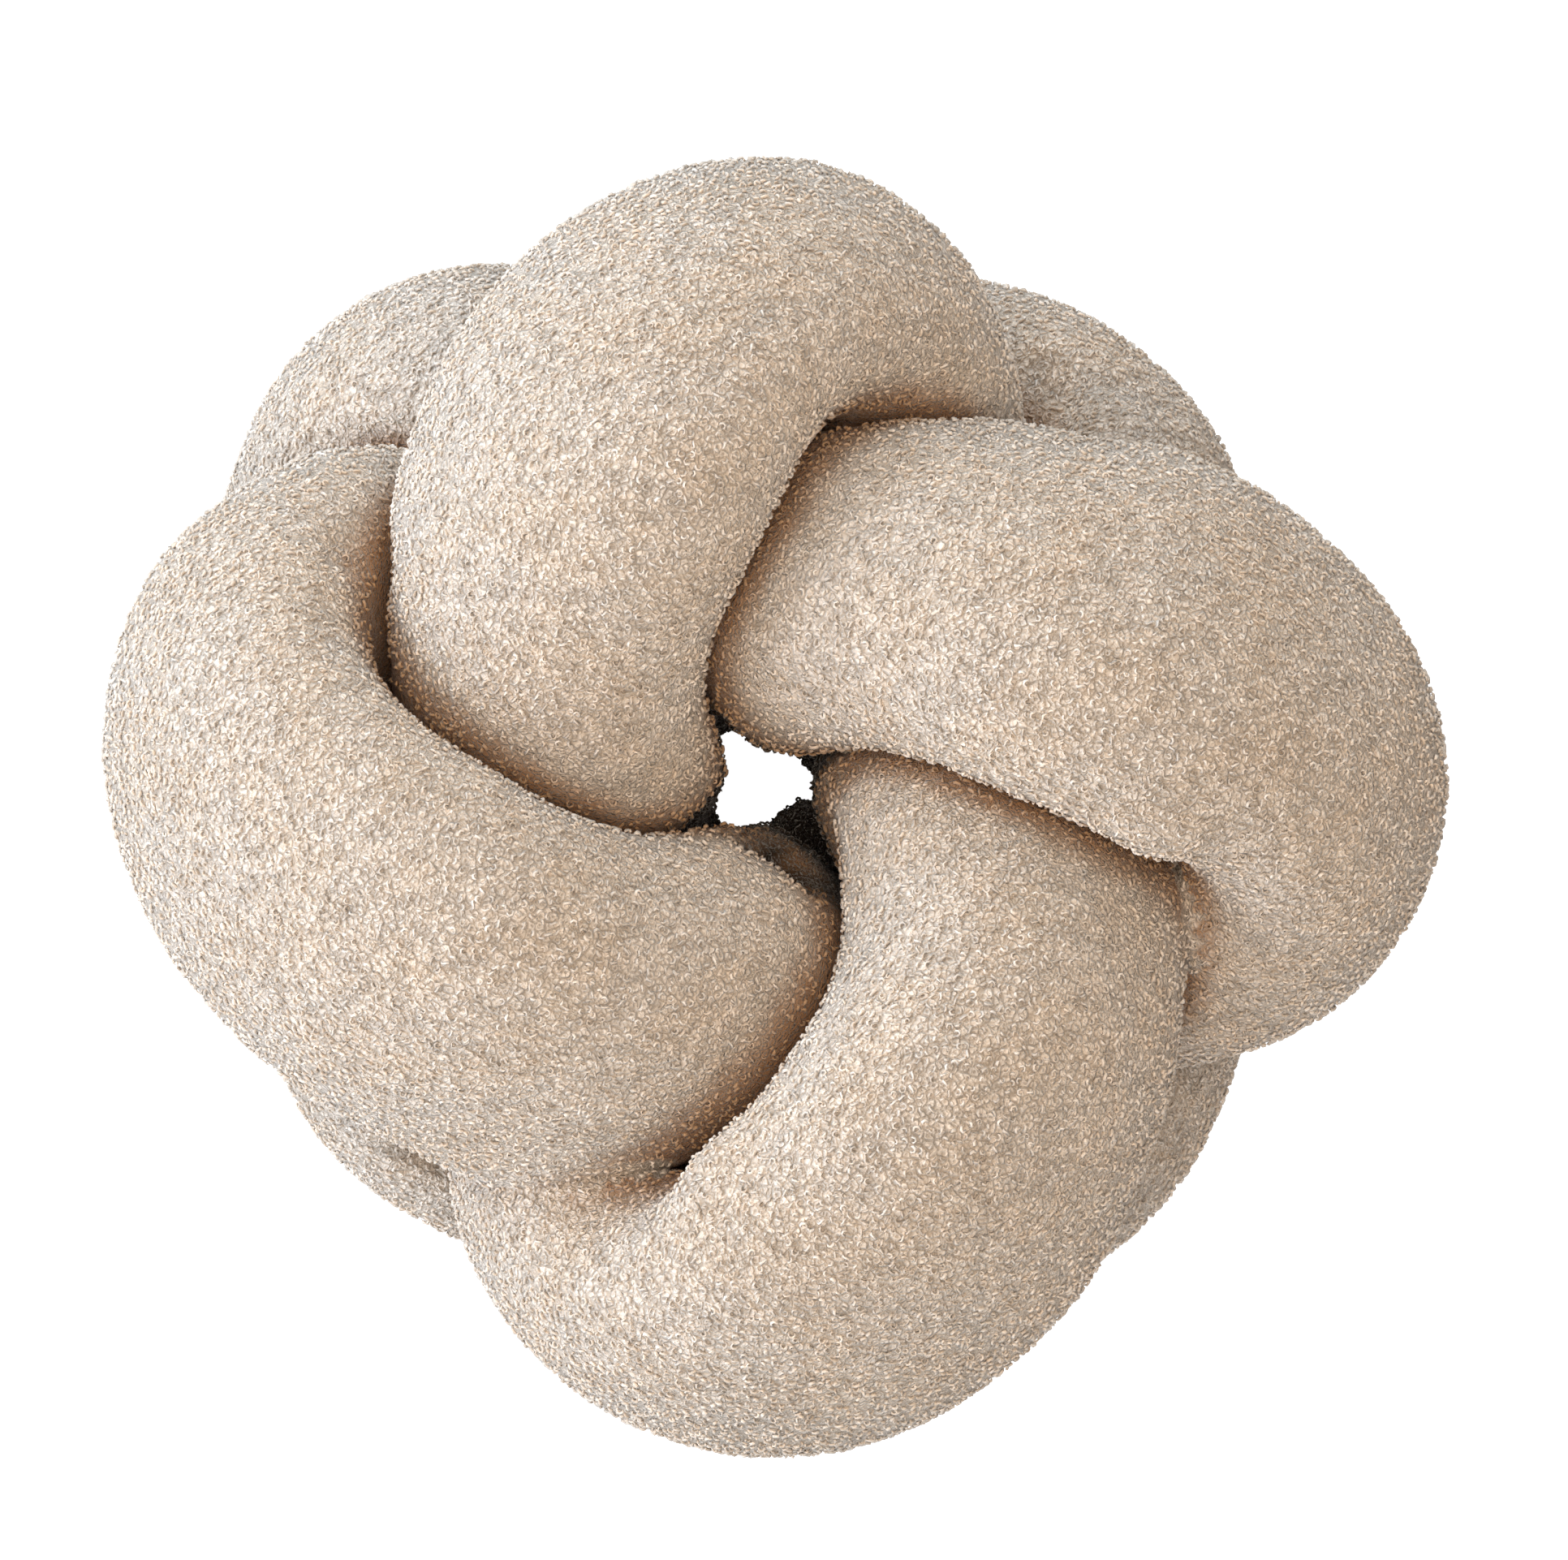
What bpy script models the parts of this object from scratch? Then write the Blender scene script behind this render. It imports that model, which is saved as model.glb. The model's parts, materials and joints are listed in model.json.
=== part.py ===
"""A knot cushion: one fat stuffed tube of boucle cloth that closes on itself, knotted into a flattened ball.

The tube goes three times round the middle and makes four loops at the front (+Z) and four at the back, over
and under itself by turns, which leaves a small hole along the axis. The cushion lies on its back: the floor is
z = 0, +Z is the face, and +Y is the top of the cushion as it stands on show. Lengths are in metres, angles in
degrees.
"""

from collections import namedtuple

import bmesh
import bpy
import numpy as np

# The knot: the tube's turns round the middle, and its loops at the front (as many again at the back).
TURNS = 3
LOOPS = 4

# The path of the tube's centre: its mean distance from the cushion's axis, how far it swings to the front and
# to the back of the middle, how far it runs ahead in that, and where round the axis its first front leg lies.
MEAN_REACH = 0.104
DEPTH = 0.0875
DEPTH_LEAD = 25.0
FIRST_LEG = 143.5

# The stuffed tube's oval section: half its width across the cushion's surface, and half its thickness.
HALF_WIDTH = 0.056
HALF_THICKNESS = 0.046

# How the path and the section swing about those means: a row per harmonic of the tube's phase, which grows by
# one turn from each front leg to the next. Out is metres from the axis, on is degrees round it, up is metres
# along it, wide and thick are metres of the section's halves. Each has a cosine and a sine part.
Swing = namedtuple(
    "Swing",
    "order out_cos out_sin on_cos on_sin up_cos up_sin wide_cos wide_sin thick_cos thick_sin",
)
SWINGS = (
    Swing(2, -0.0275, -0.025, -4.0, 6.0, 0.0, 0.0, 0.0025, -0.007, 0.0065, 0.0),
    Swing(3, 0.0, 0.0, 0.0, 0.0, -0.003, 0.0015, 0.0, 0.0, 0.0, 0.0),
    Swing(4, 0.01, -0.0015, -3.5, 0.0, 0.0, 0.0, 0.0, 0.0, 0.0, 0.0),
)

# The knot is uneven: a row for each place where the tube turns, in the order in which it comes to them. Out is
# metres further from the axis, on is degrees further round it, and wide is metres of half-width.
Place = namedtuple("Place", "name out on wide")
PLACES = (
    Place("left leg", -0.0015, -2.5, 0.001),
    Place("lower left back lobe", -0.016, -3.0, 0.0),
    Place("lower right back leg", 0.0, 0.0, 0.0),
    Place("right lobe", 0.022, 6.0, 0.0015),
    Place("upper leg", -0.002, -3.5, 0.003),
    Place("upper left back lobe", 0.004, 5.0, 0.0),
    Place("upper right back leg", 0.0, 0.0, 0.0),
    Place("bottom lobe", 0.0135, 4.5, 0.0125),
    Place("right leg", 0.008, 6.0, 0.002),
    Place("upper right back lobe", -0.01, -0.5, 0.0),
    Place("upper left back leg", 0.0, 0.0, 0.0),
    Place("left lobe", 0.011, -4.5, 0.0025),
    Place("lower leg", -0.0025, -1.5, 0.005),
    Place("lower right back lobe", -0.006, -4.5, 0.0),
    Place("lower left back leg", 0.0, 0.0, 0.0),
    Place("top lobe", 0.0035, 4.5, -0.0015),
)

# How the tube is cut into faces, and how finely its path is followed and measured.
RINGS = 200
SIDES = 24
PATH_SAMPLES = 800
STEPS_PER_SAMPLE = 40

# Two stretches of tube that press on each other meet halfway, and each keeps back this much from there.
HALF_GAP = 0.0006
# Within this distance along itself the tube isn't pressed by its own stretch. On the inside of a bend there
# it puckers, at this share of the way to where its sections would cross.
OWN_STRETCH = 0.08
PUCKER = 0.95
# How squarely the section turns from round to pressed flat: a higher number makes a sharper edge.
FIRMNESS = 11.0
# How far the cushion's own weight presses its back flat on the floor.
SETTLE = 0.006

BOUCLE_BEIGE = (0.66, 0.57, 0.47, 1.0)
BOUCLE_ROUGHNESS = 0.95


def clear_scene():
    """Removes every object that is in the scene at the start."""
    for thing in list(bpy.data.objects):
        bpy.data.objects.remove(thing)


def by_place(phase, column):
    """One column of PLACES as a smooth run: each place blends into the next as a raised cosine."""
    step = np.pi / 2
    whole = 2 * np.pi * LOOPS
    run = np.zeros_like(phase)
    for index, place in enumerate(PLACES):
        away = (phase - index * step + whole / 2) % whole - whole / 2
        weight = np.where(np.abs(away) < step, np.cos(away) ** 2, 0.0)
        run += getattr(place, column) * weight
    return run


def swung(phase, column):
    """One quantity's swings about its mean, summed over the rows of SWINGS."""
    total = np.zeros_like(phase)
    for swing in SWINGS:
        total += getattr(swing, f"{column}_cos") * np.cos(swing.order * phase)
        total += getattr(swing, f"{column}_sin") * np.sin(swing.order * phase)
    return total


def tube_path(phase):
    """The tube's centreline, as one point per phase. The first front leg is in its middle at phase 0."""
    reach = MEAN_REACH + swung(phase, "out") + by_place(phase, "out")
    turn = FIRST_LEG + np.degrees(phase) * TURNS / LOOPS + swung(phase, "on") + by_place(phase, "on")
    height = DEPTH * np.cos(phase + np.radians(DEPTH_LEAD)) + swung(phase, "up")
    bearing = np.radians(turn)
    return np.stack([reach * np.cos(bearing), reach * np.sin(bearing), height], axis=1)


def even_phases(count):
    """Phases that lie at even distances along the tube."""
    fine = np.linspace(0, 2 * np.pi * LOOPS, STEPS_PER_SAMPLE * count + 1)
    steps = np.linalg.norm(np.diff(tube_path(fine), axis=0), axis=1)
    distance = np.concatenate([[0.0], np.cumsum(steps)])
    wanted = np.linspace(0, distance[-1], count, endpoint=False)
    return np.interp(wanted, distance, fine)


def unit(vectors):
    """Each vector at a length of one."""
    return vectors / np.linalg.norm(vectors, axis=-1, keepdims=True)


def section_scales(path, half_width, half_thickness):
    """At each point of the path, a matrix that turns an offset into parts of the oval section's own halves.

    Its rows are the directions along the tube, out of the cushion and across its surface, each over the half
    there.
    """
    along = unit(np.roll(path, -1, axis=0) - np.roll(path, 1, axis=0))
    outward = unit(path)
    outward = unit(outward - np.sum(outward * along, axis=1, keepdims=True) * along)
    across = np.cross(along, outward)
    half_length = (half_width + half_thickness) / 2
    halves = np.stack([half_length, half_thickness, half_width], axis=1)
    return np.stack([along, outward, across], axis=1) / halves[:, :, None]


def bend_room(centre, spokes, path):
    """How far each spoke may reach before it meets its own stretch of the path, on the inside of a bend."""
    offsets = path - centre
    facing = spokes @ offsets.T
    ahead = facing > 0
    halfway = np.sum(offsets**2, axis=1) / 2
    reach = np.where(ahead, halfway / np.where(ahead, facing, 1.0), np.inf)
    return PUCKER * reach.min(axis=1)


def neighbour_room(centre, spokes, path, scales):
    """How far each spoke may reach before it is as deep in another stretch of the tube as in its own.

    A spoke's depth in its own section is s, and in another one it is the length of the scaled offset, so each
    pair gives a quadratic in s.
    """
    offsets = np.einsum("mij,mj->mi", scales, centre - path)
    slopes = np.einsum("mij,sj->smi", scales, spokes)
    square = np.sum(slopes**2, axis=2) - 1
    linear = 2 * np.sum(slopes * offsets, axis=2)
    constant = np.sum(offsets**2, axis=1)
    inside = linear**2 - 4 * square * constant
    divisor = np.sqrt(np.maximum(inside, 0.0)) - linear
    meets = (inside > 0) & (divisor > 0)
    depth = np.where(meets, 2 * constant / np.where(meets, divisor, 1.0), np.inf)
    return depth.min(axis=1)


def tube_surface(rings, sides):
    """The stuffed tube as rings of points: an oval section, pressed in where the tube meets itself."""
    phases = even_phases(PATH_SAMPLES)
    path = tube_path(phases)
    half_width = HALF_WIDTH + swung(phases, "wide") + by_place(phases, "wide")
    half_thickness = HALF_THICKNESS + swung(phases, "thick")
    scales = section_scales(path, half_width, half_thickness)
    spacing = np.linalg.norm(path[1] - path[0])
    angles = np.linspace(0, 2 * np.pi, sides, endpoint=False)
    surface = np.empty((rings, sides, 3))
    for ring in range(rings):
        here = ring * PATH_SAMPLES // rings
        ahead = (np.arange(PATH_SAMPLES) - here) % PATH_SAMPLES
        away = np.minimum(ahead, PATH_SAMPLES - ahead) * spacing
        near = (away > 0) & (away < OWN_STRETCH)
        far = away >= OWN_STRETCH
        axes = unit(scales[here])
        spokes = np.outer(half_width[here] * np.cos(angles), axes[2])
        spokes += np.outer(half_thickness[here] * np.sin(angles), axes[1])
        lengths = np.linalg.norm(spokes, axis=1)
        limit = np.minimum(
            bend_room(path[here], spokes, path[near]),
            neighbour_room(path[here], spokes, path[far], scales[far]) - HALF_GAP / lengths,
        )
        depth = (1 + limit**-FIRMNESS) ** (-1 / FIRMNESS)
        surface[ring] = path[here] + spokes * depth[:, None]
    return surface


def stand_on_floor(surface):
    """Centres the cushion over the origin, and presses its lowest parts flat on the floor at z = 0."""
    low = surface.min(axis=(0, 1))
    high = surface.max(axis=(0, 1))
    middle = (low + high) / 2
    placed = surface - [middle[0], middle[1], low[2] + SETTLE]
    placed[..., 2] = np.maximum(placed[..., 2], 0.0)
    return placed


def loft(name, surface):
    """One closed mesh over rings of points, where the last ring joins the first."""
    rings, sides, _ = surface.shape
    shape = bmesh.new()
    grid = [[shape.verts.new(point) for point in ring] for ring in surface]
    for ring in range(rings):
        for side in range(sides):
            onward = (ring + 1) % rings
            beside = (side + 1) % sides
            corners = (grid[ring][side], grid[ring][beside], grid[onward][beside], grid[onward][side])
            face = shape.faces.new(corners)
            face.smooth = True
    bmesh.ops.recalc_face_normals(shape, faces=shape.faces)
    mesh = bpy.data.meshes.new(name)
    shape.to_mesh(mesh)
    shape.free()
    return bpy.data.objects.new(name, mesh)


def cloth(name, colour, roughness):
    """A plain woven or looped cloth."""
    material = bpy.data.materials.new(name)
    material.use_nodes = True
    shader = material.node_tree.nodes["Principled BSDF"]
    shader.inputs["Base Color"].default_value = colour
    shader.inputs["Roughness"].default_value = roughness
    shader.inputs["Metallic"].default_value = 0.0
    return material


def build():
    """Makes the cushion in a collection of its own."""
    clear_scene()
    cushion = bpy.data.collections.new("knot_cushion")
    bpy.context.scene.collection.children.link(cushion)
    tube = loft("knot_tube", stand_on_floor(tube_surface(RINGS, SIDES)))
    tube.data.materials.append(cloth("boucle", BOUCLE_BEIGE, BOUCLE_ROUGHNESS))
    cushion.objects.link(tube)


build()
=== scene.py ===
# %% [markdown]
# # A knot cushion in boucle cloth
# One fat tube of boucle cloth, stuffed with fibre, is knotted over and under itself into a flattened ball and
# closed end to end. This lesson dresses it: first the tube itself, then the small dents in it, then the looped
# pile that makes boucle what it is, and last the light and the camera. All lengths are in metres.

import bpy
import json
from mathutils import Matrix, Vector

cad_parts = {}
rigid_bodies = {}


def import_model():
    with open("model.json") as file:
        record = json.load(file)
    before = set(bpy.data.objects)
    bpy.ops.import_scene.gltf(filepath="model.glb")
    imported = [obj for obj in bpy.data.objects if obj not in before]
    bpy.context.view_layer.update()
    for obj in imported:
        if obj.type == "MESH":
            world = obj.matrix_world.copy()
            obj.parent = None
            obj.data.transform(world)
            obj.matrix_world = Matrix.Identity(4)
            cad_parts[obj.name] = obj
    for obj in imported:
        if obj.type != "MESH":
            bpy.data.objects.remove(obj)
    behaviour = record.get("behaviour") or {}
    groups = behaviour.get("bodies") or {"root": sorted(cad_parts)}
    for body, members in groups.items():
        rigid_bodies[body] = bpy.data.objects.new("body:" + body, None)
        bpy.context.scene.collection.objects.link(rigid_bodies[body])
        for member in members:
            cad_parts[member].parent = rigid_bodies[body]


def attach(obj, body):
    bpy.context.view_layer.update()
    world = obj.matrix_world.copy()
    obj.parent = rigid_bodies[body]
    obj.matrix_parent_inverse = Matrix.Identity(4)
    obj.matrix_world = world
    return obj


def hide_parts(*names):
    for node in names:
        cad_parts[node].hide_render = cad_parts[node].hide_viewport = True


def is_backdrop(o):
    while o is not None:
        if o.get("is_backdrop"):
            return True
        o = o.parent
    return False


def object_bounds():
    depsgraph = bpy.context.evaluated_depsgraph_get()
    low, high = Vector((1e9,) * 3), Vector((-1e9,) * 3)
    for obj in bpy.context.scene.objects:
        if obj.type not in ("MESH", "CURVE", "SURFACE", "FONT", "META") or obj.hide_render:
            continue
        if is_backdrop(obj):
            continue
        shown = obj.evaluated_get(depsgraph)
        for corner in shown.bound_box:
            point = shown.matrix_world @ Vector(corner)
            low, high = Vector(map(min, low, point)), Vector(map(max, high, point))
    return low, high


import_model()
cad_low, cad_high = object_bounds()
print("CAD box:", [round(x, 4) for x in (*cad_low, *cad_high)])

# %% The modules that the lesson needs
import json
from collections import namedtuple

import bpy
import numpy as np
from mathutils import Matrix, Vector, noise
from mathutils.bvhtree import BVHTree

# %% [markdown]
# ## The knotted tube
# The real tube is one soft sausage, so it is one surface: a ring of points at each step along a closed path. The
# path goes three times round the middle and swings to the front and the back four times, which is what makes
# the over and under. A curve with a bevel would give the path, but not the way in which stuffed stretches press
# each other flat, so the rings are worked out here and the faces are laid between them.

# %% Sizes of the knot
TURNS = 3
LOOPS = 4
MEAN_REACH = 0.104
DEPTH = 0.0875
DEPTH_LEAD = 25.0
FIRST_LEG = 143.5
HALF_WIDTH = 0.056
HALF_THICKNESS = 0.046
HALF_GAP = 0.0006
OWN_STRETCH = 0.08
PUCKER = 0.95
FIRMNESS = 11.0
SETTLE = 0.006
PATH_SAMPLES = 800
STEPS_PER_SAMPLE = 40

# %% How the path and the section swing about those means, a row per harmonic of the tube's phase
Swing = namedtuple(
    "Swing",
    "order out_cos out_sin on_cos on_sin up_cos up_sin wide_cos wide_sin thick_cos thick_sin",
)
SWINGS = (
    Swing(2, -0.0275, -0.025, -4.0, 6.0, 0.0, 0.0, 0.0025, -0.007, 0.0065, 0.0),
    Swing(3, 0.0, 0.0, 0.0, 0.0, -0.003, 0.0015, 0.0, 0.0, 0.0, 0.0),
    Swing(4, 0.01, -0.0015, -3.5, 0.0, 0.0, 0.0, 0.0, 0.0, 0.0, 0.0),
)

# %% Where this knot is uneven, a row per place where the tube turns, in the order in which it comes to them
Place = namedtuple("Place", "name out on wide")
PLACES = (
    Place("left leg", -0.0015, -2.5, 0.001),
    Place("lower left back lobe", -0.016, -3.0, 0.0),
    Place("lower right back leg", 0.0, 0.0, 0.0),
    Place("right lobe", 0.022, 6.0, 0.0015),
    Place("upper leg", -0.002, -3.5, 0.003),
    Place("upper left back lobe", 0.004, 5.0, 0.0),
    Place("upper right back leg", 0.0, 0.0, 0.0),
    Place("bottom lobe", 0.0135, 4.5, 0.0125),
    Place("right leg", 0.008, 6.0, 0.002),
    Place("upper right back lobe", -0.01, -0.5, 0.0),
    Place("upper left back leg", 0.0, 0.0, 0.0),
    Place("left lobe", 0.011, -4.5, 0.0025),
    Place("lower leg", -0.0025, -1.5, 0.005),
    Place("lower right back lobe", -0.006, -4.5, 0.0),
    Place("lower left back leg", 0.0, 0.0, 0.0),
    Place("top lobe", 0.0035, 4.5, -0.0015),
)

# %% [markdown]
# The path is a rule and not a list of points: a circle that is swung in and out, on and back, and to the front
# and the back. The uneven places are blended in, each one as a raised cosine that fades out at its neighbours.

# %% The path of the tube's centre
def by_place(phase, column):
    """One column of PLACES as a smooth run along the tube."""
    step = np.pi / 2
    whole = 2 * np.pi * LOOPS
    run = np.zeros_like(phase)
    for index, place in enumerate(PLACES):
        away = (phase - index * step + whole / 2) % whole - whole / 2
        weight = np.where(np.abs(away) < step, np.cos(away) ** 2, 0.0)
        run += getattr(place, column) * weight
    return run


def swung(phase, column):
    """One quantity's swings about its mean, summed over the rows of SWINGS."""
    total = np.zeros_like(phase)
    for swing in SWINGS:
        total += getattr(swing, f"{column}_cos") * np.cos(swing.order * phase)
        total += getattr(swing, f"{column}_sin") * np.sin(swing.order * phase)
    return total


def tube_path(phase):
    """The tube's centreline, as one point per phase."""
    reach = MEAN_REACH + swung(phase, "out") + by_place(phase, "out")
    turn = FIRST_LEG + np.degrees(phase) * TURNS / LOOPS + swung(phase, "on") + by_place(phase, "on")
    height = DEPTH * np.cos(phase + np.radians(DEPTH_LEAD)) + swung(phase, "up")
    bearing = np.radians(turn)
    return np.stack([reach * np.cos(bearing), reach * np.sin(bearing), height], axis=1)


def even_phases(count):
    """Phases that lie at even distances along the tube."""
    fine = np.linspace(0, 2 * np.pi * LOOPS, STEPS_PER_SAMPLE * count + 1)
    steps = np.linalg.norm(np.diff(tube_path(fine), axis=0), axis=1)
    distance = np.concatenate([[0.0], np.cumsum(steps)])
    wanted = np.linspace(0, distance[-1], count, endpoint=False)
    return np.interp(wanted, distance, fine)


phases = even_phases(PATH_SAMPLES)
path = tube_path(phases)
spacing = float(np.linalg.norm(path[1] - path[0]))
print("the tube is", round(spacing * PATH_SAMPLES, 2), "m long")

# %% [markdown]
# ## How the stuffing presses
# A stuffed tube is oval where it is free. Where two stretches meet, each gives way by the same share, so a point
# of the surface stops where it would be as deep in the other stretch as in its own. On the inside of a bend the
# cloth puckers and stops short of the bend's centre.

# %% The oval section, pressed in where the tube meets itself
CLOTH_RINGS = 480
CLOTH_SIDES = 64


def unit(vectors):
    """Each vector at a length of one."""
    return vectors / np.linalg.norm(vectors, axis=-1, keepdims=True)


def section_scales(path, half_width, half_thickness):
    """At each point of the path, a matrix that turns an offset into parts of the section's own halves."""
    along = unit(np.roll(path, -1, axis=0) - np.roll(path, 1, axis=0))
    outward = unit(path)
    outward = unit(outward - np.sum(outward * along, axis=1, keepdims=True) * along)
    across = np.cross(along, outward)
    half_length = (half_width + half_thickness) / 2
    halves = np.stack([half_length, half_thickness, half_width], axis=1)
    return np.stack([along, outward, across], axis=1) / halves[:, :, None]


def bend_room(centre, spokes, path):
    """How far each spoke may reach before it meets its own stretch, on the inside of a bend."""
    offsets = path - centre
    facing = spokes @ offsets.T
    ahead = facing > 0
    halfway = np.sum(offsets**2, axis=1) / 2
    reach = np.where(ahead, halfway / np.where(ahead, facing, 1.0), np.inf)
    return PUCKER * reach.min(axis=1)


def neighbour_room(centre, spokes, path, scales):
    """How far each spoke may reach before it is as deep in another stretch as in its own."""
    offsets = np.einsum("mij,mj->mi", scales, centre - path)
    slopes = np.einsum("mij,sj->smi", scales, spokes)
    square = np.sum(slopes**2, axis=2) - 1
    linear = 2 * np.sum(slopes * offsets, axis=2)
    constant = np.sum(offsets**2, axis=1)
    inside = linear**2 - 4 * square * constant
    divisor = np.sqrt(np.maximum(inside, 0.0)) - linear
    meets = (inside > 0) & (divisor > 0)
    depth = np.where(meets, 2 * constant / np.where(meets, divisor, 1.0), np.inf)
    return depth.min(axis=1)


def tube_surface(rings, sides):
    """The stuffed tube as rings of points."""
    half_width = HALF_WIDTH + swung(phases, "wide") + by_place(phases, "wide")
    half_thickness = HALF_THICKNESS + swung(phases, "thick")
    scales = section_scales(path, half_width, half_thickness)
    angles = np.linspace(0, 2 * np.pi, sides, endpoint=False)
    surface = np.empty((rings, sides, 3))
    for ring in range(rings):
        here = ring * PATH_SAMPLES // rings
        ahead = (np.arange(PATH_SAMPLES) - here) % PATH_SAMPLES
        away = np.minimum(ahead, PATH_SAMPLES - ahead) * spacing
        near = (away > 0) & (away < OWN_STRETCH)
        far = away >= OWN_STRETCH
        axes = unit(scales[here])
        spokes = np.outer(half_width[here] * np.cos(angles), axes[2])
        spokes += np.outer(half_thickness[here] * np.sin(angles), axes[1])
        lengths = np.linalg.norm(spokes, axis=1)
        limit = np.minimum(
            bend_room(path[here], spokes, path[near]),
            neighbour_room(path[here], spokes, path[far], scales[far]) - HALF_GAP / lengths,
        )
        depth = (1 + limit**-FIRMNESS) ** (-1 / FIRMNESS)
        surface[ring] = path[here] + spokes * depth[:, None]
    return surface


cloth_points = tube_surface(CLOTH_RINGS, CLOTH_SIDES)
low = cloth_points.min(axis=(0, 1))
high = cloth_points.max(axis=(0, 1))
middle = (low + high) / 2
cloth_points = cloth_points - [middle[0], middle[1], low[2] + SETTLE]
print("felt size:", np.round(high - low, 4), "points:", cloth_points.shape[:2])

# %% [markdown]
# ## The camera
# The cushion lies on its back, and the camera looks down on its face from far away with a long lens, so it
# flattens the view as a product shot does. It comes before the dents, because those are placed where they show.

# %% A camera over the face
FRAME_PIXELS = (1932, 1922)
PIXEL = 0.0002443
AXIS_PIXEL = (952, 990)
TILT_UP = np.radians(1.5)
TILT_SIDE = np.radians(0.4)
CAMERA_DISTANCE = 6.0
SENSOR = 0.036
MIDDLE_HEIGHT = (cad_high.z - cad_low.z) / 2

turned = Matrix.Rotation(TILT_SIDE, 3, "Y") @ Matrix.Rotation(TILT_UP, 3, "X")
right = turned.transposed() @ Vector((1, 0, 0))
up = turned.transposed() @ Vector((0, 1, 0))
toward = turned.transposed() @ Vector((0, 0, 1))
aim = Vector((0, 0, MIDDLE_HEIGHT))
aim += right * (FRAME_PIXELS[0] / 2 - AXIS_PIXEL[0]) * PIXEL
aim += up * (AXIS_PIXEL[1] - FRAME_PIXELS[1] / 2) * PIXEL

lens = bpy.data.cameras.new("face_camera")
lens.sensor_width = SENSOR * 1000
lens.lens = SENSOR * 1000 * CAMERA_DISTANCE / (FRAME_PIXELS[0] * PIXEL)
lens.clip_end = 50.0
camera = bpy.data.objects.new("face_camera", lens)
placing = Matrix((right, up, toward)).transposed().to_4x4()
placing.translation = aim + toward * CAMERA_DISTANCE
camera.matrix_world = placing
bpy.context.scene.collection.objects.link(camera)
bpy.context.scene.camera = camera
print("the lens is", round(lens.lens), "mm")

# %% [markdown]
# ## Lumps, dents and swells
# Fibre filling is never even, so the tube has low lumps. A few dents show where the cloth is drawn in, and a few
# swells where a lobe bulges over its neighbour. They are placed by where they show on the face, found by a line of
# sight from the camera, and moved in or out as soft troughs or ridges along the surface.

# %% Faces between the rings
def ring_faces(rings, sides):
    """The four corners of each face between one ring and the next, facing out."""
    faces = []
    for ring in range(rings):
        onward = (ring + 1) % rings
        for side in range(sides):
            beside = (side + 1) % sides
            faces.append(
                (
                    ring * sides + side,
                    ring * sides + beside,
                    onward * sides + beside,
                    onward * sides + side,
                )
            )
    return faces


def grid_normals(points):
    """The outward normal at each point of a closed grid of rings."""
    along = np.roll(points, -1, axis=0) - np.roll(points, 1, axis=0)
    around = np.roll(points, -1, axis=1) - np.roll(points, 1, axis=1)
    return unit(np.cross(around, along))


faces = ring_faces(CLOTH_RINGS, CLOTH_SIDES)
normals = grid_normals(cloth_points)
centres = cloth_points.mean(axis=1, keepdims=True)
if np.mean(np.sum(normals * (cloth_points - centres), axis=2)) < 0:
    faces = [corners[::-1] for corners in faces]
    normals = -normals
print("faces:", len(faces))

# %% Low lumps from the filling
LUMP_SIZE = 0.045
LUMP_HEIGHT = 0.0012
RIPPLE_SIZE = 0.014
RIPPLE_HEIGHT = 0.00035


def lump(point):
    """How far the filling pushes the cloth out at a point."""
    spot = Vector(point)
    broad = noise.noise(spot / LUMP_SIZE)
    fine = noise.noise(spot / RIPPLE_SIZE)
    return LUMP_HEIGHT * broad + RIPPLE_HEIGHT * fine


lumps = np.array([lump(point) for point in cloth_points.reshape(-1, 3)])
cloth_points = cloth_points + normals * lumps.reshape(CLOTH_RINGS, CLOTH_SIDES, 1)
print("lumps from", round(float(lumps.min()) * 1000, 2), "to", round(float(lumps.max()) * 1000, 2), "mm")

# %% Dents, a row each: where it shows, its run across the picture, and its length, width and depth
# A swell is a dent with a depth below zero. The pockets are apart because their cloth also gets painted shade,
# nearly black.
Dent = namedtuple("Dent", "name column row run_column run_row length width depth")
DENTS = (
    Dent("tuck beside the top lobe", 428, 668, 0.8, 0.6, 0.016, 0.007, 0.006),
    Dent("tuck under the left lobe", 672, 1455, 1.0, 0.15, 0.010, 0.004, 0.003),
    Dent("second tuck under the left lobe", 745, 1462, 1.0, 0.0, 0.005, 0.003, 0.003),
    Dent("crease in the upper right back lobe", 1412, 472, 1.0, 0.15, 0.022, 0.0055, 0.007),
    Dent("hollow of the upper right back lobe", 1296, 476, 0.2, 1.0, 0.014, 0.010, 0.009),
    Dent("swell of the bottom lobe under the left one", 700, 1462, 1.0, 0.1, 0.034, 0.016, -0.014),
    Dent("swell of the bottom lobe beside the left one", 880, 1440, 0.75, -0.66, 0.022, 0.010, -0.008),
    Dent("swell of the right lobe over the bottom one", 1468, 1120, 0.5, 0.85, 0.020, 0.013, -0.0085),
    Dent("swell of the right lobe's lower edge", 1428, 1034, 0.9, 0.45, 0.016, 0.010, -0.007),
    Dent("swell of a back loop in the hole", 995, 1035, 1.0, 0.3, 0.011, 0.010, -0.017),
    Dent("hollow of the lower left back lobe", 530, 1425, 0.8, 0.6, 0.012, 0.009, 0.011),
)
POCKETS = (
    Dent("pocket below the hole", 975, 1045, 0.66, 0.75, 0.012, 0.008, 0.024),
    Dent("pocket beside the hole", 872, 1003, 1.0, 0.3, 0.008, 0.006, 0.016),
)


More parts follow.
